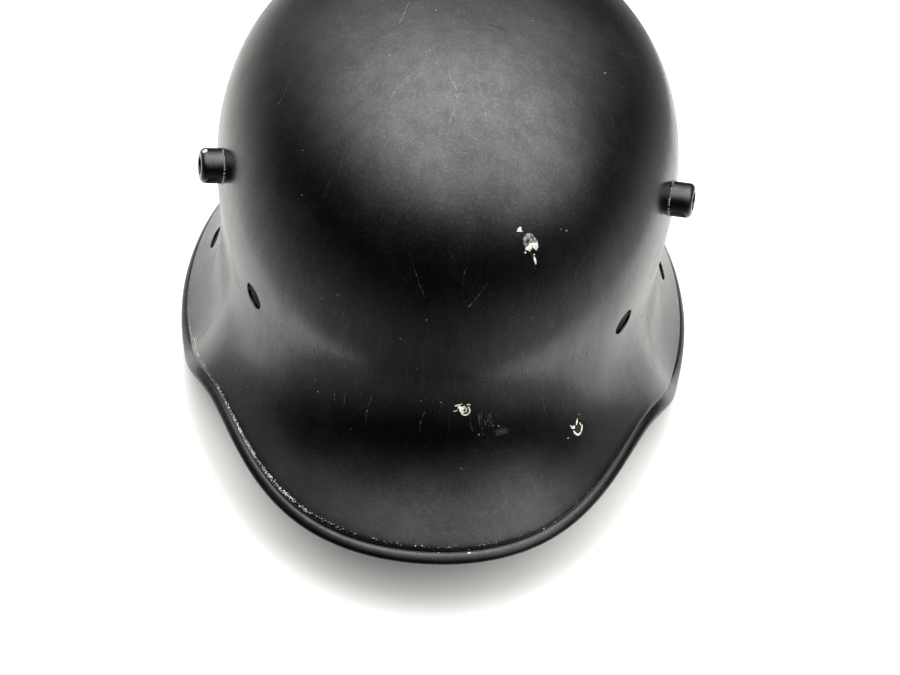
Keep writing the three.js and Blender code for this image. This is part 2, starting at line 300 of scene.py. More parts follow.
# %% Outer surface and its directions
def outer(azimuth, travel):
    """Points on the outer face, in millimetres."""
    azimuth, travel = np.broadcast_arrays(np.asarray(azimuth, float), np.asarray(travel, float))
    slope = np.radians(slope_at(azimuth))
    down = np.stack([np.cos(slope), -np.sin(slope)])
    brow = np.stack([
        brow_reach(azimuth) * ellipse(SKULL_LENGTH, SKULL_WIDTH, azimuth),
        brow_lift(azimuth) * BROW_HEIGHT,
    ])
    rim = np.stack([
        rim_reach(azimuth) * ellipse(RIM_LENGTH, RIM_WIDTH, azimuth),
        rim_lift(azimuth) * VISOR_LIFT - REST_CUT,
    ])
    band_slope = slope - np.radians(turn_out_at(azimuth))
    band_down = np.stack([np.cos(band_slope), -np.sin(band_slope)])
    band_out = np.stack([np.sin(band_slope), np.cos(band_slope)])
    ridge = rim - BAND_WIDTH * band_down + (BAND_STEP + BAND_THICKNESS / 2) * band_out

    turn = np.clip(travel, 0, 1) * math.pi / 2
    power = 2 / CROWN_SQUARENESS
    rise = (HEIGHT - brow[1]) * np.maximum(0, np.cos(turn)) ** power
    dome = np.stack([brow[0] * np.sin(turn) ** power, brow[1] + rise])

    chord = np.hypot(*(ridge - brow))
    start_pull = brow - np.stack([0 * chord, start_pull_at(azimuth) * chord])
    end_pull = ridge - end_pull_at(azimuth) * chord * down
    t = np.clip(travel - 1, 0, 1)
    flare = (brow * (1 - t) ** 3 + 3 * start_pull * (1 - t) ** 2 * t
             + 3 * end_pull * (1 - t) * t ** 2 + ridge * t ** 3)

    reach, height = np.where(travel <= 1, dome, flare)
    angle = np.radians(azimuth)
    return np.stack([reach * np.sin(angle), CROWN_Y - reach * np.cos(angle), height], -1)


def unit(vectors):
    return vectors / np.linalg.norm(vectors, axis=-1, keepdims=True)


def directions(azimuth, travel):
    """Unit vectors out of the sheet, down it towards the rim, and around it."""
    azimuth, travel = np.asarray(azimuth, float), np.asarray(travel, float)
    beside = outer(azimuth + 0.5, travel) - outer(azimuth - 0.5, travel)
    below = (outer(azimuth, np.minimum(travel + 0.002, 2))
             - outer(azimuth, np.maximum(travel - 0.002, 0.002)))
    out = unit(np.cross(below, beside))
    edgeward = unit(np.cross(beside, out))
    return out, edgeward, np.cross(out, edgeward)


def skin(azimuth, travel, depth):
    """Points at that depth under the outer face."""
    return outer(azimuth, travel) - directions(azimuth, travel)[0] * depth


def travel_at_height(azimuth, height):
    """How far down the sheet that height lies, found by halving the way forty times."""
    upper, lower = 0.0, 2.0
    for _ in range(40):
        middle = (upper + lower) / 2
        upper, lower = (middle, lower) if outer(azimuth, middle)[2] > height else (upper, middle)
    return (upper + lower) / 2


def places_round(azimuth, travel, reach, angles):
    """Azimuths and travels of the places that lie that far from a seat, at those angles in the
    plane that touches the sheet there. Found by walking towards them in eight steps."""
    seat = outer(azimuth, travel)
    _, edgeward, around = directions(azimuth, travel)
    target = np.array([reach * np.cos(angles), reach * np.sin(angles)])
    places = np.array([np.full(target.shape[1], float(azimuth)),
                       np.full(target.shape[1], float(travel))])

    def offset(where):
        away = outer(*where) - seat
        return np.array([away @ around, away @ edgeward])

    turn, drop = 0.01, 1e-4  # small moves, which show how the offset changes
    for _ in range(8):
        here = offset(places)
        a = (offset(places + [[turn], [0]]) - here) / turn
        b = (offset(places + [[0], [drop]]) - here) / drop
        miss, size = target - here, a[0] * b[1] - a[1] * b[0]
        places = places + np.array([miss[0] * b[1] - miss[1] * b[0],
                                    a[0] * miss[1] - a[1] * miss[0]]) / size
    return places


print("front of the brow:", outer(0, 1).round(1), "front of the ridge:", outer(0, 2).round(1))

# %% [markdown]
# ## The folded edge
# On the real helmet the sheet's edge is turned inward over itself, which leaves a low step and
# then a smooth roll all round the rim. A section drawn once and carried round the ridge makes
# it. The corners get small rounds, because a sharp corner catches no light in a gloss paint.

# %% Section of the folded edge
def band_section():
    """Points as (distance edgeward from the ridge, distance outward from it)."""
    crest = [(0.30, -0.06), (0.58, -0.22), (0.80, -0.48), (0.98, -0.80), (1.16, -1.08),
             (1.40, -1.28)]
    middle = (BAND_STEP_RUN + BAND_WIDTH) / 2
    half_width, half_depth = (BAND_WIDTH - BAND_STEP_RUN) / 2, BAND_THICKNESS / 2
    roll = []
    for angle in np.radians(np.linspace(150, -100, 26)):
        across, up = math.cos(angle), math.sin(angle)
        roll.append((
            middle + half_width * math.copysign(abs(across) ** 0.8, across),
            -BAND_STEP - half_depth + half_depth * math.copysign(abs(up) ** 0.8, up),
        ))
    fold = [(1.2, -BAND_STEP - BAND_THICKNESS), (0.3, -BAND_STEP - BAND_THICKNESS + 0.25),
            (-0.5, -3.0), (-1.1, -1.9), (-1.7, -1.35)]
    return crest + roll + fold


BAND = band_section()
OUTER_BAND_POINTS = 20  # those that show from above
print("points in the section:", len(BAND))

# %% [markdown]
# ## Holes through the sheet
# The real holes are punched, with edges that the paint has rounded. A boolean cut would leave
# long thin faces that show in gloss. Instead a small window is left out of the grid on both
# faces, and rings lead from the window to the hole's lip, through the sheet and back out.

# %% The shell's grid and its holes
COLUMNS = 288
TRAVELS = np.concatenate([np.linspace(0, 1, 65)[1:], 1 + np.linspace(0, 1, 61)[1:]])
HOLE_RADIUS, LUG_HOLE_RADIUS, LIP = 5.2, 4.8, 0.35
WINDOW_SHARE = 1.55  # how far a hole's window reaches, as a share of the hole's radius
LUG_AZIMUTH, LUG_HEIGHT = 76.3, 116.3
HOLES = [
    (side * azimuth, height, radius)
    for azimuth, height, radius in (
        (48.5, 89.7, HOLE_RADIUS), (105, 24, HOLE_RADIUS),
        (LUG_AZIMUTH, LUG_HEIGHT, LUG_HOLE_RADIUS),
    )
    for side in (1, -1)
]
AZIMUTHS = np.arange(COLUMNS) * 360 / COLUMNS


def window_round(azimuth, travel, radius):
    """Rows and columns of the grid that enclose a hole, and the grid places round them."""
    sides = places_round(
        azimuth, travel, WINDOW_SHARE * radius, np.radians([0, 90, 180, 270]))
    first_row = int(np.searchsorted(TRAVELS, sides[1].min())) - 1
    last_row = int(np.searchsorted(TRAVELS, sides[1].max()))
    first_column = math.floor(sides[0].min() * COLUMNS / 360)
    last_column = math.ceil(sides[0].max() * COLUMNS / 360)
    rows, columns = range(first_row, last_row + 1), range(first_column, last_column + 1)
    edge = ([(rows[0], c) for c in columns[:-1]] + [(r, columns[-1]) for r in rows[:-1]]
            + [(rows[-1], c) for c in columns[:0:-1]] + [(r, columns[0]) for r in rows[:0:-1]])
    return rows, columns, edge


def hole_rings(azimuth, travel, radius, edge):
    """Rings of points from the window, through the hole and back to the window inside."""
    corner = np.array([(c * 360 / COLUMNS, TRAVELS[r]) for r, c in edge]).T
    away = outer(*corner) - outer(azimuth, travel)
    _, edgeward, around = directions(azimuth, travel)
    angles = np.arctan2(away @ edgeward, away @ around)
    lip = places_round(azimuth, travel, radius + LIP, angles)
    steps = [(corner * (1 - f) + lip * f, 0) for f in (0.3, 0.55, 0.78, 0.92)] + [(lip, 0)]
    for turn in np.radians([25, 50, 75, 90]):
        reach = radius + LIP * (1 - math.sin(turn))
        steps.append((places_round(azimuth, travel, reach, angles), LIP * (1 - math.cos(turn))))
    steps += [(place, WALL - depth) for place, depth in reversed(steps)]
    return [skin(*place, depth) for place, depth in steps]


def between_loops(loops):
    """Faces between neighbouring closed loops of point numbers."""
    return [(one[i], two[i], two[(i + 1) % len(one)], one[(i + 1) % len(one)])
            for one, two in zip(loops, loops[1:]) for i in range(len(one))]


print("holes:", len(HOLES), "grid:", COLUMNS, "by", len(TRAVELS))

# %% [markdown]
# ## The shell as one closed mesh
# Rings run from the top of the crown down the outside, round the folded edge and back up the
# inside. Where the helmet stands, the edge is worn flat, so nothing goes under the floor. Each
# point also keeps how far past the ridge it lies, which the paint needs for its wear.

# %% Build the shell
WORN_RIDGE = [(-180, -90, -84, -70, -56, -48, -40, -30, -20, -14, 20, 90, 180),
              (0.1, 0.2, 0.5, 0.6, 0.3, 0.9, 1, 1, 0.9, 0.25, 0.1, 0.2, 0.1)]  # azimuth, wear
PAST_AT_TOP, PAST_AT_HOLES, PAST_INSIDE = -200.0, -50.0, 99.0  # too far off the ridge for wear


def smooth_mesh(name, points, faces, **kept):
    """A mesh from lists of points in millimetres, and lists of values to keep on them."""
    mesh = bpy.data.meshes.new(name)
    mesh.from_pydata((np.concatenate(points) / 1000).tolist(), [], faces)
    for label, values in kept.items():
        mesh.attributes.new(label, "FLOAT", "POINT").data.foreach_set(
            "value", np.concatenate(values).astype(np.float32))
    mesh.shade_smooth()
    return mesh


def build_shell():
    outside = [outer(AZIMUTHS, t) for t in TRAVELS]
    out, edgeward, _ = directions(AZIMUTHS, 2)
    turn = np.radians(turn_out_at(AZIMUTHS))[:, None]
    edgeward, out = (np.cos(turn) * edgeward + np.sin(turn) * out,
                     np.cos(turn) * out - np.sin(turn) * edgeward)
    ridge = outer(AZIMUTHS, 2)
    band = [ridge + e * edgeward + o * out for e, o in BAND]
    inside = [skin(AZIMUTHS, t, WALL) for t in TRAVELS[-2::-1]]
    rings = outside + band + inside

    from_ridge = [-np.linalg.norm(ring - ridge, axis=1) for ring in outside]
    run = np.cumsum(np.hypot(*np.diff([(0, 0), *BAND], axis=0).T))
    from_ridge += [np.full(COLUMNS, r) for r in [*run, *[PAST_INSIDE] * len(inside)]]

    points = [np.array([[0, CROWN_Y, HEIGHT], [0, CROWN_Y, HEIGHT - WALL]]), *rings]
    past = [np.array([PAST_AT_TOP, PAST_INSIDE]), *from_ridge]
    worn = [np.zeros(2)] + [np.interp((AZIMUTHS + 180) % 360 - 180, *WORN_RIDGE)] * len(rings)
    at = lambda ring, column: 2 + ring * COLUMNS + column % COLUMNS
    keep = np.ones((len(rings) - 1, COLUMNS), bool)
    faces = []
    count = 2 + len(rings) * COLUMNS
    inner_row = lambda row: len(rings) - 1 - row

    for azimuth, height, radius in HOLES:
        travel = travel_at_height(azimuth, height)
        rows, columns, edge = window_round(azimuth, travel, radius)
        for row in rows[:-1]:
            for column in columns[:-1]:
                keep[row, column % COLUMNS] = keep[inner_row(row + 1), column % COLUMNS] = False
        loops = [[at(r, c) for r, c in edge]]
        for ring in hole_rings(azimuth, travel, radius, edge):
            points.append(ring)
            past.append(np.full(len(ring), PAST_AT_HOLES))
            worn.append(np.zeros(len(ring)))
            loops.append(list(range(count, count + len(ring))))
            count += len(ring)
        loops.append([at(inner_row(r), c) for r, c in edge])
        faces += between_loops(loops)

    last = len(rings) - 1
    for column in range(COLUMNS):
        faces.append((0, at(0, column), at(0, column + 1)))
        faces.append((1, at(last, column + 1), at(last, column)))
        for row in np.flatnonzero(keep[:, column]).tolist():
            faces.append((at(row, column), at(row + 1, column),
                          at(row + 1, column + 1), at(row, column + 1)))

    points = np.concatenate(points)
    points[:, 2] = np.maximum(points[:, 2], 0)
    return smooth_mesh("pressed_shell", [points], faces, past_ridge=past, worn=worn)


shell_mesh = build_shell()
print("shell:", len(shell_mesh.vertices), "points,", len(shell_mesh.polygons), "faces")

# %% [markdown]
# ## The side lugs
# A lug is a short steel tube with a thick rounded head outside and a spread collar inside, so a
# turned profile suits it. Its head and collar have to follow the curved sheet, so each ring of
# the profile is measured either from the seat's own axis or from the sheet beneath it. A bead of
# thick paint, worn in places, hides the seam round the head; its pale worn crumbs also serve as a
# painted highlight along the seam.

# %% Build a lug
LUG_HEAD_RADIUS, LUG_HEAD_LENGTH, LUG_EDGE_RADIUS, LUG_BORE_RADIUS = 6.7, 8.2, 2.3, 3.3
LUG_SHANK_RADIUS, LUG_COLLAR_RADIUS, LUG_COLLAR_THICKNESS, FIT_GAP = 4.5, 6, 1.2, 0.3
LUG_SIDES = 96
# Rings of the bead given pale wear, which also serves as a painted highlight along the seam
WORN_AND_HIGHLIT_RINGS = (4, 5)  # of the profile, where the bead of paint stands out most
WORN_LINE = -0.45  # millimetres past a ridge, where its paint wears most


def lug_profile():
    """Rings as (radius, height, whether the height is measured from the sheet)."""
    rings = [(radius, FIT_GAP, True) for radius in (LUG_SHANK_RADIUS, 5.6, 6.6)]
    rings += [(LUG_HEAD_RADIUS + bulge, height, True) for bulge, height in (
        (0.45, 0.03), (0.3, 0.12), (0.16, 0.28), (0.05, 0.55), (0, 0.9))]
    shoulder = LUG_HEAD_LENGTH - LUG_EDGE_RADIUS
    rings += [(LUG_HEAD_RADIUS, shoulder * share, False) for share in (0.4, 0.7, 0.95)]
    for turn in np.radians(np.linspace(0, 90, 12)):
        rings.append((LUG_HEAD_RADIUS - LUG_EDGE_RADIUS * (1 - math.cos(turn)),
                      shoulder + LUG_EDGE_RADIUS * math.sin(turn), False))
    for turn in np.radians(np.linspace(0, 90, 6)):
        rings.append((LUG_BORE_RADIUS + 0.5 * (1 - math.sin(turn)),
                      LUG_HEAD_LENGTH - 0.5 * (1 - math.cos(turn)), False))
    under = -WALL - FIT_GAP
    foot = under - LUG_COLLAR_THICKNESS
    rings += [(LUG_BORE_RADIUS, 4.0, False), (LUG_BORE_RADIUS, foot + 0.6, False),
              (LUG_BORE_RADIUS + 0.15, foot + 0.2, False), (LUG_BORE_RADIUS + 0.5, foot, True),
              (LUG_COLLAR_RADIUS - 0.5, foot, True), (LUG_COLLAR_RADIUS - 0.1, foot + 0.2, True),
              (LUG_COLLAR_RADIUS, foot + 0.6, True), (LUG_COLLAR_RADIUS, under, True),
              (LUG_SHANK_RADIUS, under, True)]
    return rings


def build_lug(name, side):
    azimuth = side * LUG_AZIMUTH
    travel = travel_at_height(azimuth, LUG_HEIGHT)
    seat = outer(azimuth, travel)
    out, edgeward, around = directions(azimuth, travel)
    angles = np.arange(LUG_SIDES) * 2 * math.pi / LUG_SIDES
    spokes = np.outer(np.cos(angles), around) + np.outer(np.sin(angles), edgeward)
    rings = []
    for radius, height, on_sheet in lug_profile():
        if on_sheet:
            rings.append(skin(*places_round(azimuth, travel, radius, angles), -height))
        else:
            rings.append(seat + radius * spokes + height * out)
    loops = [range(r * LUG_SIDES, (r + 1) * LUG_SIDES)[::-1] for r in range(len(rings))]
    # Pale wear on the bead rings, partly real wear and partly a painted highlight along the seam
    bead = np.isin(np.arange(len(rings)), WORN_AND_HIGHLIT_RINGS).repeat(LUG_SIDES)
    past = np.where(bead, WORN_LINE, PAST_AT_HOLES)
    return smooth_mesh(
        name, rings, between_loops(loops + loops[:1]), past_ridge=[past], worn=[bead])


lug_meshes = {side: build_lug(f"lug_{side}", side) for side in (1, -1)}
print("lug:", len(lug_meshes[1].polygons), "faces each")

# %% [markdown]
# ## Scratches and chips as geometry
# Marks show that this is a real, used thing. Long ones are ribbons up to a millimetre or so wide
# that ride just over the paint. Each point keeps a cover value, 0 at the edges and higher in the
# middle, so that the material can fade and break up. Chips are thin ragged flakes laid over each
# other: the torn edge of the black coat, which also serves as a painted shadow of the broken paint
# edge, the grey primer in it, and the cream paint that curls up.

# %% Ribbons and flakes
chance = np.random.default_rng(16)
LIFT, FLECK_RISE = 0.03, 0.08  # of marks over the paint and of flecks, in millimetres
FAN_SIDES = 9


def joined_mesh(name, sheets):
    """One mesh from small sheets, each given as points in millimetres, faces and cover."""
    points, faces, cover, count = [], [], [], 0
    for sheet_points, sheet_faces, sheet_cover in sheets:
        points.append(sheet_points)
        cover.append(sheet_cover)
        faces += [tuple(count + i for i in face) for face in sheet_faces]
        count += len(sheet_points)
    return smooth_mesh(name, points, faces, cover=cover)


def smooth_line(places, step=0.5):
    """Places every half millimetre or so along a smooth line through the given ones."""
    places = np.array(places, float)
    ends = np.concatenate([2 * places[:1] - places[1:2], places, 2 * places[-1:] - places[-2:-1]])
    pieces = []
    for a, b, c, d in zip(ends, ends[1:], ends[2:], ends[3:]):
        count = max(3, int(np.linalg.norm(outer(*c) - outer(*b)) / step))
        t = np.linspace(0, 1, count, endpoint=False)[:, None]
        pieces.append((2 * b + (c - a) * t + (2 * a - 5 * b + 4 * c - d) * t ** 2
                       + (3 * b - a - 3 * c + d) * t ** 3) / 2)
    return np.concatenate([*pieces, places[-1:]])


def ribbon(width, strength, places, lift=LIFT):
    """A tapered ribbon, three points across, along a line of places on the outer face."""
    azimuth, travel = smooth_line(places).T
    middle = outer(azimuth, travel)
    out = directions(azimuth, travel)[0]
    sideways = np.cross(unit(np.gradient(middle, axis=0)), out)
    along = np.linspace(0, 1, len(middle))
    taper = np.clip(6 * np.minimum(along, 1 - along) + 0.2, 0, 1)
    half = (width / 2 * taper * chance.uniform(0.7, 1.3, len(middle)))[:, None]
    points = np.stack([middle + k * half * sideways + lift * out for k in (-1, 0, 1)], 1)
    faces = [(i + j, i + j + 1, i + j + 4, i + j + 3)
             for i in range(0, 3 * len(middle) - 3, 3) for j in (0, 1)]
    return points.reshape(-1, 3), faces, (strength * np.outer(taper, (0, 1, 0))).ravel()


def flake(place, outline, lift, rise, ragged=0.12):
    """A thin domed flake. Its outline is in millimetres round and down from its place."""
    corners = np.array(outline, float)
    edge = []
    for one, two in zip(corners, np.roll(corners, -1, axis=0)):
        count = max(1, round(np.linalg.norm(two - one) / 0.35))
        edge += [one + (two - one) * i / count for i in range(count)]
    edge = np.array(edge) + chance.normal(0, ragged, (len(edge), 2))
    middle = edge.mean(0)
    sheet = []
    for share, height in ((1, 0), (0.86, 0.7), (0.6, 1), (0.3, 0.9), (0.02, 1)):
        round_it = places_from(place, middle + (edge - middle) * share).T
        bumps = 1 + chance.normal(0, 0.18 if height else 0, len(edge))
        sheet.append(skin(*round_it, -(lift + rise * height * bumps)[:, None]))
    size = len(edge)
    faces = between_loops([range(r * size, (r + 1) * size) for r in range(len(sheet))])
    return np.concatenate(sheet), faces, np.repeat([0, 0.35, 0.8, 1, 1], size)


def places_from(place, offsets):
    """Places that lie at those offsets, in millimetres round and down from a place."""
    offsets = np.array(offsets, float)
    return places_round(*place, np.hypot(*offsets.T), np.arctan2(*offsets.T[::-1])).T


def blot(place, length, width, turn, lift, rise):
    """A small rounded flake, its longer side turned that many degrees from level."""
    angles = np.linspace(0, 2 * math.pi, FAN_SIDES, endpoint=False)
    across = np.array([np.cos(angles) * length / 2, np.sin(angles) * width / 2])
    c, s = math.cos(math.radians(turn)), math.sin(math.radians(turn))
    outline = (np.array([[c, -s], [s, c]]) @ across).T
    return flake(place, outline, lift, rise, ragged=0.08 * min(length, width))


def fan(across, along):
    """Offsets of a ragged little fan of that size, its middle last, and its faces and cover."""
    angles = np.linspace(0, 2 * math.pi, FAN_SIDES, endpoint=False)
    reach = chance.uniform(0.6, 1.1, FAN_SIDES) / 2
    offsets = [np.append(reach * np.cos(angles), 0) * across,
               np.append(reach * np.sin(angles), 0) * along]
    faces = [(i, (i + 1) % FAN_SIDES, FAN_SIDES) for i in range(FAN_SIDES)]
    return offsets, faces, np.append(np.zeros(FAN_SIDES), 1)


def edge_fleck(azimuth, run, size):
    """A fleck on the folded edge, that many millimetres from the ridge."""
    line = np.array([(0, 0), *BAND[:OUTER_BAND_POINTS]])
    runs = np.append(0, np.cumsum(np.hypot(*np.diff(line, axis=0).T)))
    down, up = (np.interp(run, runs, line[:, i]) for i in (0, 1))
    out, edgeward, around = directions(azimuth, 2)
    (level, steep), faces, cover = fan(size, size / 2)
    points = (outer(azimuth, 2) + down * edgeward + (up + LIFT) * out
              + np.outer(level, around) + np.outer(steep, edgeward)
              + np.outer(cover * FLECK_RISE, out))
    return points, faces, cover


def lug_fleck(side, angle, turn, length, width):
    """A fleck on the rounded edge of a lug's head, at those degrees round and over it."""
    azimuth = side * LUG_AZIMUTH
    travel = travel_at_height(azimuth, LUG_HEIGHT)
    out, edgeward, around = directions(azimuth, travel)
    (round_it, over_it), faces, cover = fan(length / LUG_HEAD_RADIUS, width / LUG_EDGE_RADIUS)
    round_it, over_it = round_it + math.radians(angle), over_it + math.radians(turn)
    bulge = LUG_EDGE_RADIUS + FLECK_RISE
    radius = LUG_HEAD_RADIUS - LUG_EDGE_RADIUS + bulge * np.cos(over_it)
    height = LUG_HEAD_LENGTH - LUG_EDGE_RADIUS + bulge * np.sin(over_it)
    points = (outer(azimuth, travel) + np.outer(radius * np.cos(round_it), around)
              + np.outer(radius * np.sin(round_it), edgeward) + np.outer(height, out))
    return points, faces, cover


print("marks ride", LIFT, "mm over the paint")

# %% [markdown]
# ## Where the marks are
# Places are pairs of azimuth and travel. Hairlines on the crown and the visor are scuffs in the
# gloss only. The three chips on the front go down to the older paint, and small flecks of it lie
# round them, on the folded edge and on a lug.

# %% Scratches
SCRATCHES = [
    # width in millimetres, strength, places
    (1.04, 0.75, [(-89, 0.094), (-68, 0.118), (-57, 0.147)]),
    (0.95, 0.8, [(-21.4, 0.195), (-24.6, 0.236), (-25.7, 0.264), (-26.1, 0.289), (-25.3, 0.306)]),
    (0.76, 0.7, [(-26.4, 0.224), (-24.6, 0.236)]),
    (0.76, 0.6, [(-35.6, 0.268), (-30.7, 0.283), (-26.2, 0.286)]),
    (1.04, 0.95, [(-5.4, 0.164), (-4.3, 0.196), (-1, 0.22), (-0.2, 0.245), (0.4, 0.26),
                  (-1.1, 0.287), (-2, 0.318), (-2.1, 0.335)]),
    (0.85, 0.8, [(4.9, 0.198), (2.6, 0.219), (1.1, 0.242), (0.3, 0.258)]),
    (0.76, 0.65, [(0.4, 0.26), (0.1, 0.293), (0.1, 0.316), (1, 0.326), (5.1, 0.335)]),
    (0.85, 0.8, [(11.5, 0.139), (10.7, 0.16)]),
    (0.85, 0.75, [(10.5, 0.181), (10.2, 0.204), (10.6, 0.225), (10.8, 0.249), (11.1, 0.288),
                  (11, 0.328)]),
    (0.76, 0.7, [(21.3, 0.156), (20.3, 0.172)]),
    (0.76, 0.65, [(39.6, 0.232), (37.2, 0.244)]),
    (0.76, 0.7, [(-14.9, 0.372), (-13.2, 0.381), (-11.4, 0.387)]),
    (0.76, 0.6, [(-11.1, 0.28), (-10, 0.297)]),
    (0.66, 0.7, [(9, 1.251), (9.2, 1.3), (9.4, 1.344)]),
    (0.66, 0.65, [(10.2, 1.299), (10.7, 1.35)]),
    (0.57, 0.6, [(20.8, 0.647), (22.1, 0.647)]),
    (0.95, 0.7, [(-22.3, 0.829), (-21.8, 0.832), (-21, 0.834)]),
]
RIM_SCRATCHES = [
    (0.45, 1.1, [(-77.8, 1.975), (-72.2, 1.98), (-69.6, 1.985)]),
    (0.4, 1.0, [(-76.1, 1.949), (-72.4, 1.981)]),
    (0.45, 1.0, [(-68, 1.985), (-64.5, 1.985)]),
    (0.45, 1.0, [(-88.1, 1.975), (-86.9, 1.98)]),
]
DARK_RUBS = [
    (1.6, 0.9, [(86.6, 0.16), (85.4, 0.183), (83.1, 0.209)]),
    (1.8, 0.8, [(37.2, 0.061), (45.8, 0.088), (50.5, 0.118)]),
    (1.2, 0.8, [(26.5, 0.026), (30.9, 0.036)]),
]


def hairline(azimuths, travels, leaning):
    """A faint short scuff at a chance place, mostly running up and down."""
    azimuth, travel = chance.uniform(*azimuths), chance.uniform(*travels)
    lean, length = chance.uniform(-leaning, leaning), chance.uniform(4, 16)
    ends = [(-lean * length / 2, -length / 2), (chance.normal(0, 0.6), 0),
            (lean * length / 2, length / 2)]
    return (chance.uniform(0.5, 1.2), chance.uniform(0.38, 0.52),
            places_from((azimuth, travel), ends))


HAIRLINES = [hairline((-180, 180), (0.12, 0.8), 0.8) for _ in range(90)]
HAIRLINES += [hairline((-40, 36), (0.98, 1.33), 0.15) for _ in range(75)]
scratch_mesh = joined_mesh("scratches", [ribbon(*stroke) for stroke in SCRATCHES + HAIRLINES])
dark_mesh = joined_mesh("dark_rubs", [ribbon(*stroke) for stroke in DARK_RUBS])
rim_scratch_mesh = joined_mesh("rim_scratches", [ribbon(*stroke) for stroke in RIM_SCRATCHES])
print("scratches:", len(SCRATCHES + HAIRLINES + RIM_SCRATCHES))

# %% Chips
CROWN_CHIP, VISOR_CHIP, SIDE_CHIP = (19.1, 0.632), (5.7, 1.222), (31.0, 1.608)
# Dull black rims round the chips: torn paint, and also a painted shadow of each broken paint edge
TORN_EDGE_AND_SHADOW = [
    flake(CROWN_CHIP, [(-2.9, -2.1), (-1.7, -3.2), (-0.4, -3.5), (0.6, -3.0), (2.1, -0.9),
                       (2.8, 0.9), (2.6, 2.2), (1.8, 3.6), (0.9, 3.2), (0.2, 2.2), (-0.8, 3.1),
                       (-2.6, 2.1), (-3.0, -0.1)], LIFT, 0.02, 0.1),
    flake(VISOR_CHIP, [(-2.0, -1.6), (-0.9, -2.4), (1.2, -2.5), (2.9, -1.0), (3.3, 1.4),
                       (2.1, 2.9), (0.6, 2.7), (-0.9, 1.5)], LIFT, 0.02, 0.12),
    flake(SIDE_CHIP, [(-0.6, -0.5), (1.4, -0.5), (2.6, 0.9), (1.0, 2.6), (-0.6, 2.2),
                      (-1.3, 0.8)], LIFT, 0.02, 0.1),
    blot(SIDE_CHIP, 1.4, 0.7, 20, LIFT, 0.02),
]
GREY_PRIMER = [
    flake(CROWN_CHIP, [(-2.6, -2.0), (-1.6, -2.9), (-0.4, -3.2), (0.4, -2.8), (1.8, -0.8),
                       (2.5, 0.8), (1.3, 1.3), (-0.5, 1.1), (-2.2, 1.0), (-2.7, -0.1)],
          0.05, 0.05, 0.08),
    blot((28.4, 1.627), 1.2, 0.5, 10, LIFT, 0.04),
    blot((32.4, 1.536), 0.8, 0.6, 0, LIFT, 0.04),
]
PRIMER_HOLES = [
    flake(CROWN_CHIP, [(-1.2, -1.5), (-0.5, -0.9), (-0.9, -0.1), (-1.6, 0.1), (-2.0, -0.7)],
          0.1, 0.02, 0.06),
    flake(CROWN_CHIP, [(-0.2, -2.5), (0.3, -2.3), (0.9, -1.3), (1.3, -0.2), (0.9, -0.3),
                       (0.4, -1.2)], 0.1, 0.02, 0.05),
]
CREAM_PAINT = [
    flake(CROWN_CHIP, [(-2.3, 1.4), (-0.8, 0.6), (0.3, 0.3), (2.2, 0.8), (2.4, 1.9), (1.7, 3.3),
                       (1.2, 3.0), (0.6, 1.7), (-0.2, 1.7), (-0.7, 2.9), (-1.9, 2.4),
                       (-2.5, 1.9)], 0.1, 0.1, 0.07),
    flake((16.6, 0.593), [(-1.3, 0.4), (0.0, -0.8), (1.0, -0.8), (0.6, 0.0), (0.9, 0.9)],
          LIFT, 0.12, 0.05),
    flake(VISOR_CHIP, [(-1.9, -1.5), (-0.9, -2.0), (-0.1, -1.1), (0.7, -1.9), (1.0, -0.7),
                       (0.5, 0.1), (0.4, 1.6), (-0.6, 1.0), (-1.1, -0.1)], 0.06, 0.14, 0.16),
    blot((4.3, 1.232), 1.1, 0.4, 0, LIFT, 0.08),
    flake(SIDE_CHIP, [(-2.6, -3.0), (-2.0, -2.2), (-0.3, -1.4), (-0.9, -0.3), (-1.9, -0.9),
                      (-2.6, -1.3), (-2.3, -2.1)], LIFT, 0.12, 0.07),
    blot((17.5, 0.656), 0.7, 0.7, 0, LIFT, 0.08),
    blot((19.5, 0.667), 0.7, 0.6, 0, LIFT, 0.08),
]
CURL_LIFT = 0.14  # curls stand clear of the torn paint under them
CREAM_CURLS = [
    # width in millimetres, strength, chip, line as millimetres round and down from the chip
    (0.9, 2.2, CROWN_CHIP, [(0.4, 4.9), (0.6, 6.2), (0.8, 8.1)]),
    (0.7, 2.4, VISOR_CHIP, [(-0.6, 1.0), (0.6, 2.2), (1.8, 2.3), (2.8, 1.2), (2.6, -0.4),
                            (1.8, -1.4)]),
    (0.5, 1.8, VISOR_CHIP, [(0.2, 0.4), (0.9, 1.1), (1.6, 0.6), (1.4, -0.5), (0.7, -1.5)]),
    (0.6, 1.9, VISOR_CHIP, [(-2.9, -1.6), (-1.6, -2.2), (0.1, -2.6)]),
    (0.4, 1.6, VISOR_CHIP, [(1.3, -2.0), (2.2, -2.3), (2.9, -1.7)]),
    (0.5, 1.8, VISOR_CHIP, [(-3.4, 0.6), (-2.5, 0.4), (-1.4, 0.1)]),
    (0.9, 2.4, SIDE_CHIP, [(1.8, -3.4), (1.2, -2.4), (0.2, -1.1)]),
    (1.0, 2.4, SIDE_CHIP, [(-2.0, -0.4), (-1.6, 1.2), (-0.5, 2.7), (1.1, 2.7), (2.6, 1.5),
                           (3.2, 0.0)]),
    (0.5, 1.8, SIDE_CHIP, [(2.6, 0.6), (2.3, -0.4), (2.4, -1.2)]),
]
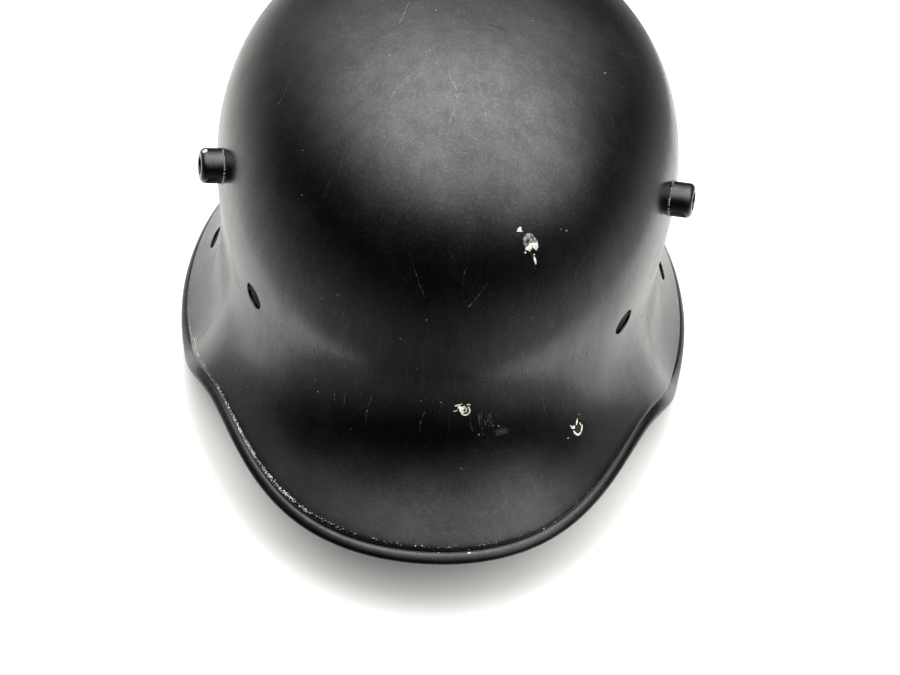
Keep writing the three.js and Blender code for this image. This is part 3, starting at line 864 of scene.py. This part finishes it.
FLECKS = [(-56.9, 0.051), (-19.7, 0.132), (-21.3, 0.145), (-40.9, 0.209), (-31.8, 0.227),
          (-15.4, 0.279), (-23, 0.354), (78.1, 0.145), (-37.3, 0.632), (-25.5, 0.864),
          (-15, 1.227), (106.2, 0.397), (72.1, 0.371), (-43.5, 1.781), (-40.7, 1.714),
          (-24.6, 1.344), (22, 0.594), (27.1, 0.623), (28.5, 0.633), (1.4, 1.176),
          (39.8, 1.544), (12.1, 1.347), (13.2, 1.357), (9.2, 1.391), (10, 1.395)]
for fleck in FLECKS:
    length = chance.uniform(0.35, 0.8)
    GREY_PRIMER.append(blot(fleck, length, length * chance.uniform(0.5, 0.9),
                            chance.uniform(0, 180), LIFT, 0.05))
EDGE_FLECKS = [(2.3, 3.0, 0.6), (6.9, 3.4, 1.5), (19.3, 0.9, 0.9), (21.5, 0.8, 0.7)]
CREAM_PAINT += [edge_fleck(*fleck) for fleck in EDGE_FLECKS]
CREAM_PAINT.append(lug_fleck(-1, 262, 20, 2.4, 1.9))
RUB_COVER = 0.62  # thin, so that it breaks up
GREEN_RUBS = [
    flake((13.8, 1.389), [(-4.6, -0.9), (-2.4, -1.6), (0.1, -2.8), (3.2, -1.6), (4.8, 1.1),
                          (2.6, 2.4), (-0.2, 3.1), (-3.4, 2.4)], LIFT, 0.0, 0.3),
    flake((11.4, 1.31), [(-1.6, -4.0), (0.4, -4.6), (1.8, -1.0), (1.4, 3.4), (-0.8, 4.0),
                         (-1.9, 0.4)], LIFT, 0.0, 0.3),
]
green_mesh = joined_mesh("green_rubs", [
    (points, faces, cover * RUB_COVER) for points, faces, cover in GREEN_RUBS])
torn_edge_and_shadow_mesh = joined_mesh("torn_edge_and_painted_shadow", TORN_EDGE_AND_SHADOW + PRIMER_HOLES)
primer_mesh = joined_mesh("grey_primer", GREY_PRIMER)
cream_mesh = joined_mesh("cream_paint", CREAM_PAINT)
curls = [ribbon(width, strength, places_from(chip, line), CURL_LIFT)
         for width, strength, chip, line in CREAM_CURLS]
curl_mesh = joined_mesh("cream_curls", curls)
print("flakes:", len(TORN_EDGE_AND_SHADOW + GREY_PRIMER + PRIMER_HOLES + CREAM_PAINT))

# %% [markdown]
# ## Black enamel
# The helmet was brushed with a satin black enamel over a pale primer. Enamel has an IOR near
# 1.5 and no metal in it, and shows its gloss as soft broad highlights. What makes it look real
# is small: a faint orange peel, the lines of the brush, rubbed places that are greyer and
# duller, dust specks, and worn paint where the sheet bends over the edge.

# %% Enamel material
MILLIMETRE = 1000  # a noise scale of this has features about a millimetre across


def new_material(name):
    """A material without a shader yet, its node tree, and the places on the object."""
    material = bpy.data.materials.new(name)
    material.use_nodes = True
    material.node_tree.nodes.clear()
    place = node(material.node_tree, "TexCoord", {}).outputs["Object"]
    return material, material.node_tree, place


def enamel_material():
    material, tree, place = new_material("satin_black_enamel")

    # Cloudy rubbed places, some 25 mm across, greyer and duller than the rest
    clouds = node(tree, "TexNoise", {
        "Vector": place, "Scale": MILLIMETRE / 25, "Detail": 5, "Roughness": 0.62})
    clouded = node(tree, "MapRange", {0: clouds, 1: 0.46, 2: 0.72})
    grain = node(tree, "TexNoise", {
        "Vector": place, "Scale": MILLIMETRE / 0.9, "Detail": 3, "Roughness": 0.7})
    rubbed = node(tree, "Math", {0: clouded, 1: grain}, operation="MULTIPLY")

    # Lines of the brush, 0.7 mm apart and some 20 mm long, that run down the sides
    drawn_down = node(tree, "VectorMath", {0: place, 1: (1, 1, 1 / 30)}, operation="MULTIPLY")
    lines = node(tree, "TexNoise", {
        "Vector": drawn_down, "Scale": MILLIMETRE / 0.7, "Detail": 2, "Roughness": 0.5})
    brushed = node(tree, "MapRange", {0: lines, 1: 0.5, 2: 0.75})

    # Dust and plaster specks, half a millimetre across, one in every 4 cm or so
    cells = node(tree, "TexVoronoi", {"Vector": place, "Scale": MILLIMETRE / 9})
    speck = node(tree, "MapRange", {0: cells, 1: 0.030, 2: 0.018, 3: 0, 4: 0.8})

    past_ridge = node(tree, "Attribute", {}, attribute_name="past_ridge").outputs["Fac"]
    worn = node(tree, "Attribute", {}, attribute_name="worn").outputs["Fac"]

    # Fine dust settled on the visor and the skirt, over the last 20 mm above the ridge
    settled = node(
        tree, "MapRange", {0: past_ridge, 1: -24, 2: -8}, interpolation_type="SMOOTHSTEP")
    off_edge = node(tree, "MapRange", {0: past_ridge, 1: -0.5, 2: -4})
    settled = node(tree, "Math", {0: settled, 1: off_edge}, operation="MULTIPLY")

    # Paint worn to pale primer in crumbs of half a millimetre, close above the ridge
    from_line = node(tree, "Math", {0: past_ridge, 1: WORN_LINE}, operation="SUBTRACT")
    off_line = node(tree, "Math", {0: from_line}, operation="ABSOLUTE")
    near_line = node(tree, "MapRange", {0: off_line, 1: 0.95, 2: 0.15})
    on_line = node(tree, "Math", {0: near_line, 1: worn}, operation="MULTIPLY")
    crumbs = node(tree, "TexNoise", {
        "Vector": place, "Scale": MILLIMETRE / 0.55, "Detail": 2, "Roughness": 0.6})
    gathered = node(tree, "TexNoise", {
        "Vector": place, "Scale": MILLIMETRE / 6, "Detail": 1, "Roughness": 0.5})
    crumbs = node(tree, "Math", {0: on_line, 1: 0.16, 2: crumbs}, operation="MULTIPLY_ADD")
    crumbs = node(tree, "Math", {0: gathered, 1: 0.2, 2: crumbs}, operation="MULTIPLY_ADD")
    crumbled = node(tree, "MapRange", {0: crumbs, 1: 0.76, 2: 0.80})
    in_reach = node(tree, "MapRange", {0: on_line, 1: 0.05, 2: 0.2})
    wear = node(tree, "Math", {0: crumbled, 1: in_reach}, operation="MULTIPLY")

    # The colours of these layers, over the paint's own
    paint = linear("#000102")
    for share, colour in ((rubbed, "#040505"), (brushed, "#020303"), (speck, "#6d6c68"),
                          (settled, "#1b1b1d"), (wear, "#b3b3ad")):
        mixed = node(tree, "Mix", {0: share, 6: paint, 7: linear(colour)}, data_type="RGBA")
        paint = mixed.outputs[2]

    # A thin film of dust, in streaks that run down the sides, weakens the gloss here and there
    streaked = node(tree, "VectorMath", {0: place, 1: (1, 1, 1 / 4)}, operation="MULTIPLY")
    dust = node(tree, "TexNoise", {
        "Vector": streaked, "Scale": MILLIMETRE / 7, "Detail": 5, "Roughness": 0.7})
    film = node(tree, "MapRange", {0: dust, 1: 0.35, 2: 0.65, 3: 0.57, 4: 0.41})
    film = node(tree, "Math", {0: brushed, 1: 0.22, 2: film}, operation="MULTIPLY_ADD")

    gloss = node(tree, "MapRange", {0: rubbed, 1: 0, 2: 0.6, 3: 0.215, 4: 0.34})
    gloss = node(tree, "Math", {0: brushed, 1: 0.03, 2: gloss}, operation="MULTIPLY_ADD")
    gloss = node(tree, "Math", {0: wear, 1: 0.3, 2: gloss}, operation="MULTIPLY_ADD")
    peel = node(tree, "TexNoise", {
        "Vector": place, "Scale": MILLIMETRE / 2.2, "Detail": 2, "Roughness": 0.5})
    relief = node(tree, "Math", {0: grain, 1: 0.25, 2: peel}, operation="MULTIPLY_ADD")
    bump = node(tree, "Bump", {"Strength": 0.10, "Distance": 0.0002, "Height": relief})
    shader = node(tree, "BsdfPrincipled", {
        "Base Color": paint, "Roughness": gloss, "IOR": 1.5, "Normal": bump,
        "Specular IOR Level": film})
    node(tree, "OutputMaterial", {"Surface": shader})
    return material


enamel = enamel_material()
print("enamel nodes:", len(enamel.node_tree.nodes))

# %% [markdown]
# ## Materials of the marks
# Scuffed gloss, rubs, torn paint, grey primer and old cream paint are all dull. They differ in
# colour and in how far they cover the enamel: a scuff fades out, a flake ends at its edge. The
# torn black paint round a chip is also a painted shadow of its broken edge.

# %% Mark materials
def mark_material(name, dark, pale, patch, fading=0.0, roughness=0.7):
    """Dull paint that varies between two colours in patches of that many millimetres. With
    fading it shows only where the cover value beats a noise, and never more than that."""
    material, tree, place = new_material(name)
    clouds = node(tree, "TexNoise", {
        "Vector": place, "Scale": MILLIMETRE / patch, "Detail": 3, "Roughness": 0.7})
    patches = node(tree, "MapRange", {0: clouds, 1: 0.4, 2: 0.6})
    colour = node(tree, "Mix", {
        0: patches, 6: linear(dark), 7: linear(pale)}, data_type="RGBA").outputs[2]
    relief = node(tree, "TexNoise", {
        "Vector": place, "Scale": MILLIMETRE / 0.3, "Detail": 3, "Roughness": 0.6})
    bump = node(tree, "Bump", {"Strength": 0.5, "Distance": 0.0001, "Height": relief})
    surface = node(tree, "BsdfPrincipled", {
        "Base Color": colour, "Roughness": roughness, "IOR": 1.5, "Normal": bump})
    if fading:
        cover = node(tree, "Attribute", {}, attribute_name="cover").outputs["Fac"]
        broken = node(tree, "TexNoise", {
            "Vector": place, "Scale": MILLIMETRE / 0.7, "Detail": 3, "Roughness": 0.7})
        margin = node(tree, "Math", {0: broken, 1: -0.8, 2: cover}, operation="MULTIPLY_ADD")
        shown = node(tree, "MapRange", {0: margin, 1: 0, 2: 0.35, 3: 0, 4: fading})
        clear = node(tree, "BsdfTransparent", {})
        surface = node(tree, "MixShader", {0: shown, 1: clear, 2: surface})
    node(tree, "OutputMaterial", {"Surface": surface})
    return material


scuffed_gloss = mark_material("scuffed_gloss", "#666665", "#8a8a88", 2, fading=0.55)
bare_scratch = mark_material("scratch_to_primer", "#b5b4ae", "#e6e4de", 1, fading=1.0)
dark_rub = mark_material("dark_oily_rub", "#020202", "#060606", 1, fading=0.6, roughness=0.5)
green_rub = mark_material("green_grey_rub", "#1f2825", "#3a4540", 1.5, fading=0.6)
# Torn black paint that also serves as the painted shadow of each chip's broken edge
torn_enamel_and_shadow = mark_material("torn_enamel_and_painted_edge_shadow", "#020202", "#0c0c0c", 0.5)
grey_primer = mark_material("grey_primer", "#4a4b4a", "#8a8b88", 0.9)
cream_paint = mark_material("old_cream_paint", "#8f8c80", "#e9e5d6", 1.1)
cream_curl = mark_material("curled_cream_paint", "#8f8c80", "#e9e5d6", 0.8, fading=1.0)
print("nodes of a scuff:", len(scuffed_gloss.node_tree.nodes))

# %% [markdown]
# ## Put the pieces in place
# Each piece stands for the CAD node of the same part, rides on the helmet's one body and keeps
# its own material.

# %% Shell and lugs
shell = add_object("pressed_shell", shell_mesh, enamel)
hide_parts("shell")
painted = [shell]
for side, end in ((1, "left"), (-1, "right")):
    lug = add_object(f"side_lug_{end}", lug_meshes[side], enamel)
    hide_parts(f"vent_lug_{end}")
    painted.append(lug)
marks = [
    add_object("scuffs", scratch_mesh, scuffed_gloss),
    add_object("rim_scratches", rim_scratch_mesh, bare_scratch),
    add_object("dark_rubs", dark_mesh, dark_rub),
    add_object("green_rubs", green_mesh, green_rub),
    add_object("torn_edges_and_painted_shadow", torn_edge_and_shadow_mesh, torn_enamel_and_shadow),
    add_object("primer_flakes", primer_mesh, grey_primer),
    add_object("cream_flakes", cream_mesh, cream_paint),
    add_object("cream_curls", curl_mesh, cream_curl),
]
for piece in painted + marks:
    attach(piece, "root")
print("painted pieces:", [piece.name for piece in painted + marks])

# %% Update the scene
bpy.context.view_layer.update()
